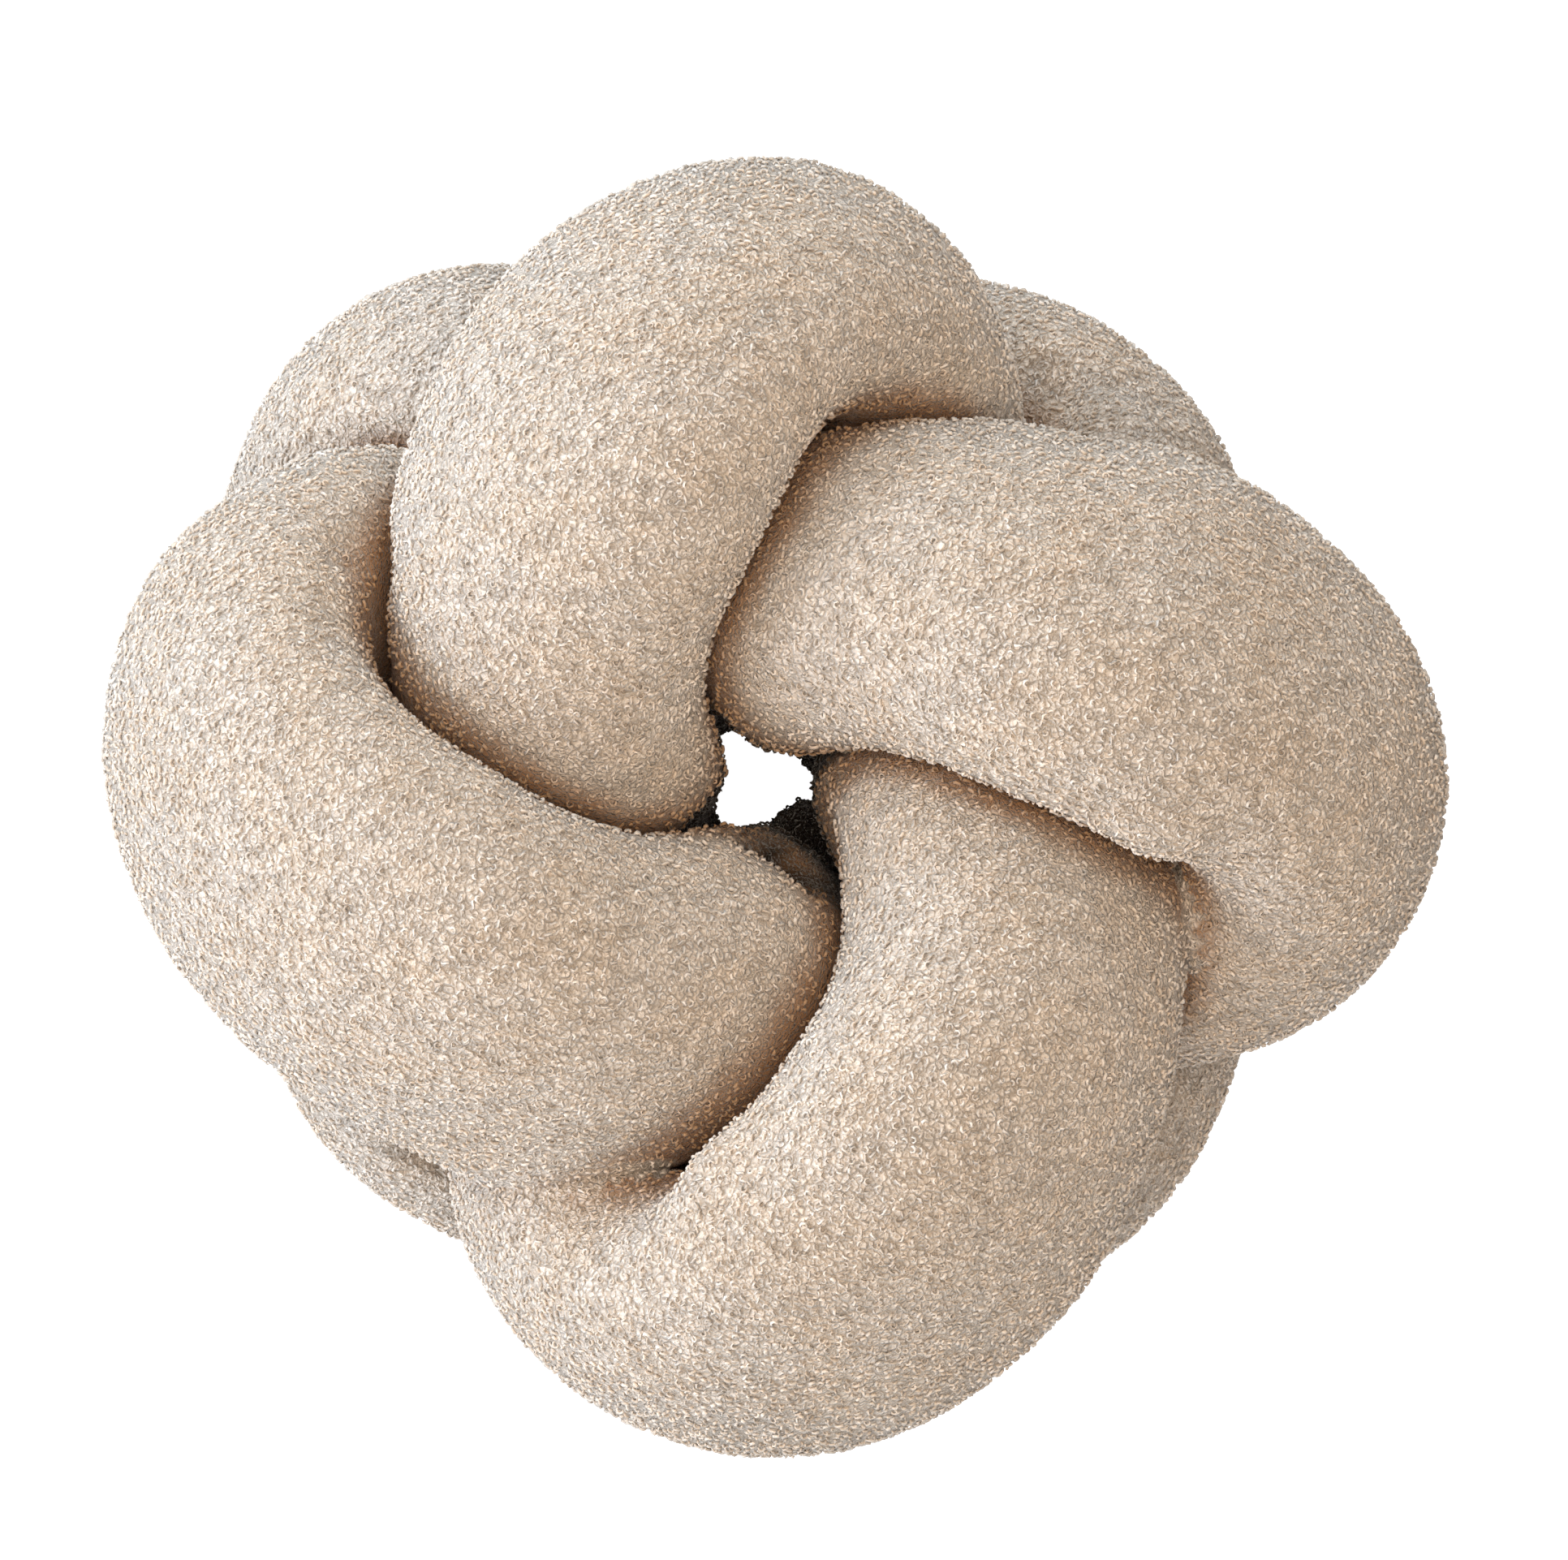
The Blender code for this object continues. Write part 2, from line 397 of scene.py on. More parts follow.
def sight(column, row, tree):
    """Where the line of sight through a place in the picture first meets the cloth."""
    across = (column - FRAME_PIXELS[0] / 2) * PIXEL
    upward = (FRAME_PIXELS[1] / 2 - row) * PIXEL
    eye = camera.matrix_world.translation
    target = aim + right * across + up * upward
    found, _, _, _ = tree.ray_cast(eye, target - eye)
    return found


def press_dents(points, normals, dents):
    """The points with each dent pressed in as a soft trough, and the share of a dent that each point has."""
    tree = BVHTree.FromPolygons(points.reshape(-1, 3).tolist(), faces)
    pressed = points.copy()
    inside = np.zeros(points.shape[:2])
    for dent in dents:
        spot = np.array(sight(dent.column, dent.row, tree))
        run = np.array(right) * dent.run_column - np.array(up) * dent.run_row
        run = run / np.linalg.norm(run)
        offset = points - spot
        lengthwise = offset @ run
        sideways = np.linalg.norm(offset - lengthwise[..., None] * run, axis=2)
        share = np.exp(-((lengthwise / dent.length) ** 2) - (sideways / dent.width) ** 2)
        pressed -= normals * (share * dent.depth)[..., None]
        inside = np.maximum(inside, share)
        print(dent.name, "at", np.round(spot, 3))
    return pressed, inside


hollowed, in_pocket = press_dents(cloth_points, normals, POCKETS)
dented, _ = press_dents(cloth_points, normals, DENTS)
cloth_points = hollowed + dented - cloth_points

# %% [markdown]
# ## How open the cloth lies
# The pile stands only where there is room for it, and painted shade makes the cloth dark and warm deep in a
# crease. Both follow from how much of the sky each point sees, so rays are cast from every point, and the open
# share is kept on the mesh as an attribute that Geometry Nodes and the materials read.

# %% Open share at each point
RAYS = 32
CREASE_REACH = 0.06
RAY_START = 0.0006


def dome(count):
    """Directions spread evenly over the sky above a flat spot, thicker towards the top."""
    index = np.arange(count) + 0.5
    height = np.sqrt(1 - index / count)
    turn = np.pi * (1 + 5**0.5) * index
    width = np.sqrt(1 - height**2)
    return np.stack([width * np.cos(turn), width * np.sin(turn), height], axis=1)


def open_shares(points, normals):
    """The share of rays from each point that meet no other cloth nearby."""
    flat = points.reshape(-1, 3)
    out = normals.reshape(-1, 3)
    tree = BVHTree.FromPolygons(flat.tolist(), faces)
    helper = np.where(np.abs(out[:, 2:3]) < 0.9, [[0.0, 0.0, 1.0]], [[1.0, 0.0, 0.0]])
    first = unit(np.cross(out, helper))
    second = np.cross(out, first)
    sky = dome(RAYS)
    shares = np.zeros(len(flat))
    for index in range(len(flat)):
        directions = sky[:, 0:1] * first[index] + sky[:, 1:2] * second[index] + sky[:, 2:3] * out[index]
        start = Vector(flat[index] + out[index] * RAY_START)
        free = sum(tree.ray_cast(start, Vector(way), CREASE_REACH)[0] is None for way in directions)
        shares[index] = free / RAYS
    return shares


open_share = open_shares(cloth_points, normals)
print("open share: mean", round(float(open_share.mean()), 3), "hidden", int((open_share < 0.02).sum()))

# %% [markdown]
# The pile stands on the cloth, so where it has room the cloth lies a pile's height inside the shape that the hand
# feels. Where the tube presses on itself there is no pile, and the cloth keeps its place, so a crease stays tight.

# %% Room for the pile
PILE_HEIGHT = 0.0016
PILE_ROOM = 0.3

pile_room = np.clip(open_share / PILE_ROOM, 0, 1).reshape(CLOTH_RINGS, CLOTH_SIDES, 1)
cloth_points = cloth_points - normals * pile_room * PILE_HEIGHT
cloth_points[..., 2] = np.maximum(cloth_points[..., 2], cad_low.z)

# %% [markdown]
# Little light comes into the hole, and the cloth in it and in the pockets beside it looks nearly black, so that
# dark is painted on as shade. Each point gets its share of the painted shade: full in a pocket and between the
# heights inside the hole, and none out on the face or the back.

# %% Where the cloth gets painted shade
POCKET_RIM, POCKET_DARK = 0.08, 0.24
HOLE_HEIGHTS = (0.060, 0.075, 0.196, 0.206)
HOLE_DARK = (0.0, 1.0, 1.0, 0.0)
HOLE_REACH = 0.045

in_hole = np.hypot(cloth_points[..., 0], cloth_points[..., 1]) < HOLE_REACH
shade_in_hole = np.interp(cloth_points[..., 2], HOLE_HEIGHTS, HOLE_DARK) * in_hole
shade_in_pocket = np.clip((in_pocket - POCKET_RIM) / (POCKET_DARK - POCKET_RIM), 0, 1)
dark_share = np.maximum(shade_in_hole, shade_in_pocket)
print("points with some dark:", int((dark_share > 0).sum()))

# %% [markdown]
# ## The cloth piece
# The cloth is one closed mesh with smooth faces. It stands for the solid tube.

# %% Make the cloth
def mesh_piece(name, points, faces):
    """A smooth mesh object from points and faces."""
    mesh = bpy.data.meshes.new(name)
    mesh.from_pydata(points.reshape(-1, 3).tolist(), [], faces)
    mesh.polygons.foreach_set("use_smooth", np.ones(len(mesh.polygons), dtype=bool))
    mesh.update()
    piece = bpy.data.objects.new(name, mesh)
    bpy.context.scene.collection.objects.link(piece)
    return piece


def keep_values(mesh, name, values):
    """Keeps one number per point on the mesh as a named attribute."""
    attribute = mesh.attributes.new(name, "FLOAT", "POINT")
    attribute.data.foreach_set("value", np.asarray(values, dtype=np.float32).ravel())


cloth = mesh_piece("boucle_cloth", cloth_points, faces)
keep_values(cloth.data, "open_share", open_share)
keep_values(cloth.data, "dark_share", dark_share)
print("cloth:", len(cloth.data.polygons) * 2, "triangles")

# %% [markdown]
# ## The boucle's colours
# Boucle yarn is spun from beige wool in a few tones, so the cloth is mottled: warm patches and greyer ones, each
# a few centimetres across. Bunches of loops a few millimetres across get painted shade, a shade lighter or darker.
# Darker tones are also more saturated, painted shade turns a crease brown and the dark places nearly black. The
# ground cloth and the loops share one node group for that, so their colours meet.

# %% A node group for the mottled beige
def add_node(tree, kind, **settings):
    """A new node with its settings."""
    node = tree.nodes.new(kind)
    for name, value in settings.items():
        setattr(node, name, value)
    return node


PATCHES_PER_METRE = 38.0
PATCH_FROM, PATCH_TO = 0.38, 0.62
# Bunches of loops are painted shade: patches a few millimetres across, a little lighter or darker.
BUNCH_SIZE = 0.0045
BUNCH_FROM, BUNCH_TO = 0.36, 0.60
BUNCH_DARK, BUNCH_LIGHT = 0.85, 1.07
# Darker tones are more saturated: a curl's own tone, and the painted shade in the ground's pits.
DARK_SATURATION, LIGHT_SATURATION = 1.35, 0.9
# Painted shade in the creases: how the open share turns the colour to the crease brown.
CREASE_SHADE_FROM, CREASE_SHADE_TO = 0.05, 0.52
# Painted shade in the hole and the pockets: how far the colour is dimmed there.
HOLE_SHADE = 0.04


def mottle_group():
    """Mottled yarn colour from a place and a tone per loop, with painted shade from the tone in the pits and from
    the open and the dark share.
    """
    group = bpy.data.node_groups.new("mottled_yarn", "ShaderNodeTree")
    sockets = group.interface
    sockets.new_socket("Place", in_out="INPUT", socket_type="NodeSocketVector")
    sockets.new_socket("Tone", in_out="INPUT", socket_type="NodeSocketFloat")
    sockets.new_socket("Darkest", in_out="INPUT", socket_type="NodeSocketFloat")
    sockets.new_socket("Lightest", in_out="INPUT", socket_type="NodeSocketFloat")
    sockets.new_socket("Open Share", in_out="INPUT", socket_type="NodeSocketFloat")
    sockets.new_socket("Dark Share", in_out="INPUT", socket_type="NodeSocketFloat")
    sockets.new_socket("Warm", in_out="INPUT", socket_type="NodeSocketColor")
    sockets.new_socket("Cool", in_out="INPUT", socket_type="NodeSocketColor")
    sockets.new_socket("Crease", in_out="INPUT", socket_type="NodeSocketColor")
    sockets.new_socket("Color", in_out="OUTPUT", socket_type="NodeSocketColor")
    given = add_node(group, "NodeGroupInput")
    result = add_node(group, "NodeGroupOutput")
    links = group.links

    patches = add_node(group, "ShaderNodeTexNoise")
    patches.inputs["Scale"].default_value = PATCHES_PER_METRE
    patches.inputs["Detail"].default_value = 3.0
    patches.inputs["Roughness"].default_value = 0.6
    links.new(given.outputs["Place"], patches.inputs["Vector"])
    spread = add_node(group, "ShaderNodeMapRange", interpolation_type="SMOOTHSTEP")
    spread.inputs["From Min"].default_value = PATCH_FROM
    spread.inputs["From Max"].default_value = PATCH_TO
    links.new(patches.outputs["Fac"], spread.inputs["Value"])
    hue = add_node(group, "ShaderNodeMix", data_type="RGBA")
    links.new(spread.outputs["Result"], hue.inputs["Factor"])
    links.new(given.outputs["Warm"], hue.inputs["A"])
    links.new(given.outputs["Cool"], hue.inputs["B"])

    # Brightness and saturation follow the tone: for a curl its own tone, for the ground painted shade in the pits.
    toned = add_node(group, "ShaderNodeHueSaturation")
    brightness = add_node(group, "ShaderNodeMapRange")
    links.new(given.outputs["Darkest"], brightness.inputs["To Min"])
    links.new(given.outputs["Lightest"], brightness.inputs["To Max"])
    links.new(given.outputs["Tone"], brightness.inputs["Value"])
    links.new(brightness.outputs["Result"], toned.inputs["Value"])
    saturation = add_node(group, "ShaderNodeMapRange")
    saturation.inputs["To Min"].default_value = DARK_SATURATION
    saturation.inputs["To Max"].default_value = LIGHT_SATURATION
    links.new(given.outputs["Tone"], saturation.inputs["Value"])
    links.new(saturation.outputs["Result"], toned.inputs["Saturation"])
    links.new(hue.outputs["Result"], toned.inputs["Color"])

    # Painted shade of the bunches of loops, lighter or darker at random.
    bunches = add_node(group, "ShaderNodeTexNoise")
    bunches.inputs["Scale"].default_value = 1 / BUNCH_SIZE
    bunches.inputs["Detail"].default_value = 1.0
    links.new(given.outputs["Place"], bunches.inputs["Vector"])
    bunch_shading = add_node(group, "ShaderNodeMapRange", interpolation_type="SMOOTHSTEP")
    bunch_shading.inputs["From Min"].default_value = BUNCH_FROM
    bunch_shading.inputs["From Max"].default_value = BUNCH_TO
    bunch_shading.inputs["To Min"].default_value = BUNCH_DARK
    bunch_shading.inputs["To Max"].default_value = BUNCH_LIGHT
    links.new(bunches.outputs["Fac"], bunch_shading.inputs["Value"])
    bunched = add_node(group, "ShaderNodeHueSaturation")
    links.new(bunch_shading.outputs["Result"], bunched.inputs["Value"])
    links.new(toned.outputs["Color"], bunched.inputs["Color"])

    # Painted shade: deep in a crease, where little sky is open, the colour turns to the crease brown.
    crease_shade_share = add_node(group, "ShaderNodeMapRange", interpolation_type="SMOOTHSTEP")
    crease_shade_share.inputs["From Min"].default_value = CREASE_SHADE_FROM
    crease_shade_share.inputs["From Max"].default_value = CREASE_SHADE_TO
    links.new(given.outputs["Open Share"], crease_shade_share.inputs["Value"])
    crease_shaded = add_node(group, "ShaderNodeMix", data_type="RGBA")
    links.new(crease_shade_share.outputs["Result"], crease_shaded.inputs["Factor"])
    links.new(given.outputs["Crease"], crease_shaded.inputs["A"])
    links.new(bunched.outputs["Color"], crease_shaded.inputs["B"])
    # Painted shade: the dark share dims the colour nearly to black in the hole and the pockets.
    dimming = add_node(group, "ShaderNodeMapRange")
    dimming.inputs["To Min"].default_value = 1.0
    dimming.inputs["To Max"].default_value = HOLE_SHADE
    links.new(given.outputs["Dark Share"], dimming.inputs["Value"])
    dimmed = add_node(group, "ShaderNodeHueSaturation")
    links.new(dimming.outputs["Result"], dimmed.inputs["Value"])
    links.new(crease_shaded.outputs["Result"], dimmed.inputs["Color"])
    links.new(dimmed.outputs["Color"], result.inputs["Color"])
    return group


mottled = mottle_group()
print("group:", mottled.name, [socket.name for socket in mottled.interface.items_tree])

# %% [markdown]
# Between the curls that stand up, the cloth is a crumb of tighter ones: little rings of yarn with a dark pit in
# the middle and a gap round them. Modelling each would take millions of faces, so they are a bump. Scattered
# points give the rings: the height rises from the pit at each point and falls to the gap halfway to the next.

# %% A node group for the crumb of small rings
RING_SIZES = (0.0025, 0.0017)
LARGE_SHARE, SMALL_SHARE = 0.65, 0.35
RING_SHARE = 0.8
PIT_FROM, PIT_TO = 0.08, 0.40
GAP_TO = 0.22
RING_WARP = 0.0011
WARP_SIZE = 0.0035
CLUMP_SIZE = 0.009


def ring_layer(group, place, size):
    """Rings of yarn about scattered points, from 0 in the pits and gaps to 1 on the yarn."""
    parts = []
    for feature, start, end in (("F1", PIT_FROM, PIT_TO), ("DISTANCE_TO_EDGE", 0.0, GAP_TO)):
        spots = add_node(group, "ShaderNodeTexVoronoi", feature=feature)
        spots.inputs["Scale"].default_value = 1 / size
        group.links.new(place, spots.inputs["Vector"])
        rounded = add_node(group, "ShaderNodeMapRange", interpolation_type="SMOOTHSTEP")
        rounded.inputs["From Min"].default_value = start
        rounded.inputs["From Max"].default_value = end
        group.links.new(spots.outputs["Distance"], rounded.inputs["Value"])
        parts.append(rounded.outputs["Result"])
    ring = add_node(group, "ShaderNodeMath", operation="MULTIPLY")
    for index, part in enumerate(parts):
        group.links.new(part, ring.inputs[index])
    return ring.outputs["Value"]


def crumb_group():
    """The crumb: how high the yarn stands at a place, and how much of a ring is there."""
    group = bpy.data.node_groups.new("yarn_crumb", "ShaderNodeTree")
    sockets = group.interface
    sockets.new_socket("Place", in_out="INPUT", socket_type="NodeSocketVector")
    sockets.new_socket("Ring", in_out="OUTPUT", socket_type="NodeSocketFloat")
    sockets.new_socket("Height", in_out="OUTPUT", socket_type="NodeSocketFloat")
    given = add_node(group, "NodeGroupInput")
    result = add_node(group, "NodeGroupOutput")
    links = group.links
    drift = add_node(group, "ShaderNodeTexNoise")
    drift.inputs["Scale"].default_value = 1 / WARP_SIZE
    drift.inputs["Detail"].default_value = 1.0
    links.new(given.outputs["Place"], drift.inputs["Vector"])
    warped = add_node(group, "ShaderNodeVectorMath", operation="MULTIPLY_ADD")
    warped.inputs[1].default_value = (RING_WARP,) * 3
    links.new(drift.outputs["Color"], warped.inputs[0])
    links.new(given.outputs["Place"], warped.inputs[2])
    large, small = (ring_layer(group, warped.outputs["Vector"], size) for size in RING_SIZES)
    lesser = add_node(group, "ShaderNodeMath", operation="MULTIPLY")
    lesser.inputs[1].default_value = SMALL_SHARE
    links.new(small, lesser.inputs[0])
    ring = add_node(group, "ShaderNodeMath", operation="MULTIPLY_ADD")
    ring.inputs[1].default_value = LARGE_SHARE
    links.new(large, ring.inputs[0])
    links.new(lesser.outputs["Value"], ring.inputs[2])
    clumps = add_node(group, "ShaderNodeTexNoise")
    clumps.inputs["Scale"].default_value = 1 / CLUMP_SIZE
    clumps.inputs["Detail"].default_value = 2.0
    links.new(given.outputs["Place"], clumps.inputs["Vector"])
    height = add_node(group, "ShaderNodeMath", operation="MULTIPLY_ADD")
    height.inputs[1].default_value = RING_SHARE
    links.new(ring.outputs["Value"], height.inputs[0])
    links.new(clumps.outputs["Fac"], height.inputs[2])
    links.new(ring.outputs["Value"], result.inputs["Ring"])
    links.new(height.outputs["Value"], result.inputs["Height"])
    return group


crumb = crumb_group()
print("group:", crumb.name, len(crumb.nodes), "nodes")

# %% [markdown]
# The ground cloth takes its bump from the crumb, and painted shade from it too: light on the yarn and dark in the
# pits. The curls that stand up have a tone each, and a bump for the fibres along the yarn. Wool scatters light at
# grazing angles, which is what sheen does in the shader.

# %% Materials for the ground cloth and the curls
WARM_GROUND = (0.645, 0.55, 0.465, 1.0)
COOL_GROUND = (0.645, 0.565, 0.495, 1.0)
WARM_YARN = (0.725, 0.625, 0.535, 1.0)
COOL_YARN = (0.725, 0.645, 0.57, 1.0)
# The crease colours are painted shade: dark warm brown deep in a crease.
CREASE_SHADE_GROUND = (0.31, 0.16, 0.075, 1.0)
CREASE_SHADE_YARN = (0.45, 0.265, 0.14, 1.0)
# The ground's range is painted shade, darkest in the pits of the crumb; the curls' range is their own tone.
GROUND_PIT_SHADE = (0.67, 1.23)
CURL_TONES = (0.86, 1.12)
WOOL = {"Roughness": 0.9, "Sheen Weight": 0.3, "Sheen Roughness": 0.45, "Specular IOR Level": 0.15}
CRUMB_HEIGHT = 0.0011
FIBRE_SIZE = 0.00055
FIBRE_HEIGHT = 0.0002


def matt_wool(name, warm, cool, crease, tones):
    """A matt, mottled wool without its relief: the material, its shader, its place and its colour nodes."""
    material = bpy.data.materials.new(name)
    material.use_nodes = True
    tree = material.node_tree
    shader = tree.nodes["Principled BSDF"]
    for socket, value in WOOL.items():
        shader.inputs[socket].default_value = value
    place = add_node(tree, "ShaderNodeTexCoord")
    share = add_node(tree, "ShaderNodeAttribute", attribute_name="open_share")
    colour = add_node(tree, "ShaderNodeGroup", node_tree=mottled)
    colour.inputs["Warm"].default_value = warm
    colour.inputs["Cool"].default_value = cool
    # The crease colour is painted shade for deep in a crease.
    colour.inputs["Crease"].default_value = crease
    colour.inputs["Darkest"].default_value, colour.inputs["Lightest"].default_value = tones
    tree.links.new(place.outputs["Object"], colour.inputs["Place"])
    tree.links.new(share.outputs["Fac"], colour.inputs["Open Share"])
    # The dark share paints shade, nearly black, in the hole and the pockets.
    dark = add_node(tree, "ShaderNodeAttribute", attribute_name="dark_share")
    tree.links.new(dark.outputs["Fac"], colour.inputs["Dark Share"])
    tree.links.new(colour.outputs["Color"], shader.inputs["Base Color"])
    return material, shader, place, colour


def raise_relief(tree, shader, height, distance):
    """Feeds a height to the shader as a bump."""
    bump = add_node(tree, "ShaderNodeBump")
    bump.inputs["Distance"].default_value = distance
    tree.links.new(height, bump.inputs["Height"])
    tree.links.new(bump.outputs["Normal"], shader.inputs["Normal"])


def ground_material():
    """The cloth between the curls: rings of yarn as painted shade and bump."""
    material, shader, place, colour = matt_wool(
        "boucle_ground", WARM_GROUND, COOL_GROUND, CREASE_SHADE_GROUND, GROUND_PIT_SHADE
    )
    tree = material.node_tree
    rings = add_node(tree, "ShaderNodeGroup", node_tree=crumb)
    tree.links.new(place.outputs["Object"], rings.inputs["Place"])
    # Painted shade: the crumb's rings make the ground darker in its pits and gaps.
    tree.links.new(rings.outputs["Ring"], colour.inputs["Tone"])
    raise_relief(tree, shader, rings.outputs["Height"], CRUMB_HEIGHT)
    return material


def curl_material():
    """The curls: a tone each, and fine fibres."""
    material, shader, place, colour = matt_wool(
        "boucle_curls", WARM_YARN, COOL_YARN, CREASE_SHADE_YARN, CURL_TONES
    )
    tree = material.node_tree
    tone = add_node(tree, "ShaderNodeAttribute", attribute_name="yarn_tone")
    tree.links.new(tone.outputs["Fac"], colour.inputs["Tone"])
    fibres = add_node(tree, "ShaderNodeTexNoise")
    fibres.inputs["Scale"].default_value = 1 / FIBRE_SIZE
    fibres.inputs["Detail"].default_value = 3.0
    tree.links.new(place.outputs["Object"], fibres.inputs["Vector"])
    raise_relief(tree, shader, fibres.outputs["Fac"], FIBRE_HEIGHT)
    return material


ground_cloth = ground_material()
curl_yarn = curl_material()
cloth.data.materials.append(ground_cloth)
print("materials:", ground_cloth.name, curl_yarn.name)

# %% [markdown]
# ## One curl of yarn
# The pile of boucle is thousands of small curls. Each is a short piece of yarn that comes up out of the ground,
# bends round and goes down again, so it is a little tube along a bent line with pointed ends in the cloth. It has
# only 12 to 24 triangles, because there are tens of thousands of them.

# %% Kinds of curl, a row each: degrees that it bends round and back, its radius, its yarn's radius and its steps
Curl = namedtuple("Curl", "name bend back radius yarn steps")
CURLS = (
    Curl("round_curl", 300.0, 0.0, 0.00082, 0.00046, 5),
    Curl("hooked_curl", 210.0, 0.0, 0.00088, 0.00050, 4),
    Curl("wavy_curl", 120.0, 120.0, 0.00080, 0.00048, 4),
    Curl("short_curl", 130.0, 0.0, 0.00110, 0.00054, 3),
)
YARN_SIDES = 3
CURL_RISE = 0.0007
CURL_SINK = 0.0002
CURL_CREST = 0.6


def curl_line(curl):
    """The bent line of a curl, seen from above and lifted in its middle."""
    heading = 0.0
    spot = np.zeros(2)
    line = [spot.copy()]
    total = abs(curl.bend) + abs(curl.back)
    step = np.radians(total) * curl.radius / curl.steps
    for index in range(curl.steps):
        turned = (index + 0.5) / curl.steps * total
        way = 1.0 if turned < curl.bend else -1.0
        heading += way * np.radians(total) / curl.steps / 2
        spot = spot + step * np.array([np.cos(heading), np.sin(heading)])
        heading += way * np.radians(total) / curl.steps / 2
        line.append(spot.copy())
    line = np.array(line)
    line -= line.mean(axis=0)
    arch = np.clip(np.sin(np.linspace(0, np.pi, curl.steps + 1)), 0, 1) ** CURL_CREST
    lift = arch * (CURL_RISE + CURL_SINK) - CURL_SINK
    return np.column_stack([line, lift])


def curl_mesh(curl):
    """A curl as a little closed tube with pointed ends."""
    line = curl_line(curl)
    along = unit(np.gradient(line, axis=0))
    side = unit(np.cross([0.0, 0.0, 1.0], along))
    over = np.cross(along, side)
    points = [line[0]]
    for index in range(1, curl.steps):
        for corner in range(YARN_SIDES):
            turn = 2 * np.pi * corner / YARN_SIDES + np.pi / 2
            points.append(line[index] + curl.yarn * (np.cos(turn) * side[index] + np.sin(turn) * over[index]))
    points.append(line[-1])
    last = len(points) - 1
    around = range(YARN_SIDES)
    faces = [(0, 1 + (c + 1) % YARN_SIDES, 1 + c) for c in around]
    for index in range(curl.steps - 2):
        here = 1 + index * YARN_SIDES
        there = here + YARN_SIDES
        faces += [(here + c, here + (c + 1) % YARN_SIDES, there + (c + 1) % YARN_SIDES, there + c) for c in around]
    final = last - YARN_SIDES
    faces += [(final + c, final + (c + 1) % YARN_SIDES, last) for c in around]
    return mesh_piece(curl.name, np.array(points), faces)


curl_box = bpy.data.collections.new("curls")
for curl in CURLS:
    piece = curl_mesh(curl)
    bpy.context.scene.collection.objects.unlink(piece)
    curl_box.objects.link(piece)
    volume = sum(t.center.dot(t.normal) * t.area for t in piece.data.polygons) / 3
    print(curl.name, [round(x * 1000, 1) for x in piece.dimensions], "mm, volume", f"{volume * 1e9:.2f}", "mm3")

# %% [markdown]
# ## Laying the pile
# Geometry Nodes scatter points over the open cloth, set a curl on each one, turned at random about the surface's
# own direction, and give each a size and a tone of its own. The pile is made in stretches along the tube, so that
# no piece grows too heavy, and the faces keep to their stretch by an attribute.

# %% Stretches of the tube with an equal share of open cloth
STRETCHES = 5
PILE_ON_THE_BACK = 0.45
FACE_START, FACE_RUN = 0.6, 0.9
LEAST_OPEN = 0.03

facing_up = normals.reshape(-1, 3)[:, 2]
room = np.clip((open_share - LEAST_OPEN) / LEAST_OPEN, 0, 1)
facing_share = PILE_ON_THE_BACK + (1 - PILE_ON_THE_BACK) * (facing_up + FACE_START) / FACE_RUN
want = room * np.clip(facing_share, PILE_ON_THE_BACK, 1)
keep_values(cloth.data, "pile_share", want)
face_corners = np.array(faces)
first, second, third, fourth = (cloth_points.reshape(-1, 3)[face_corners[:, corner]] for corner in range(4))
areas = np.linalg.norm(np.cross(third - first, fourth - second), axis=1) / 2
piled = np.cumsum(areas * want[face_corners].mean(axis=1))
stretch = np.minimum((piled / piled[-1] * STRETCHES).astype(int), STRETCHES - 1)
mark = cloth.data.attributes.new("stretch", "INT", "FACE")
mark.data.foreach_set("value", stretch.astype(np.int32))
print("cloth area", round(float(areas.sum()), 3), "m2, piled area", round(float(piled[-1]), 3), "m2")

# %% The tree that lays the curls
SIZE_SEED = 101.0
TONE_SEED = 202.0


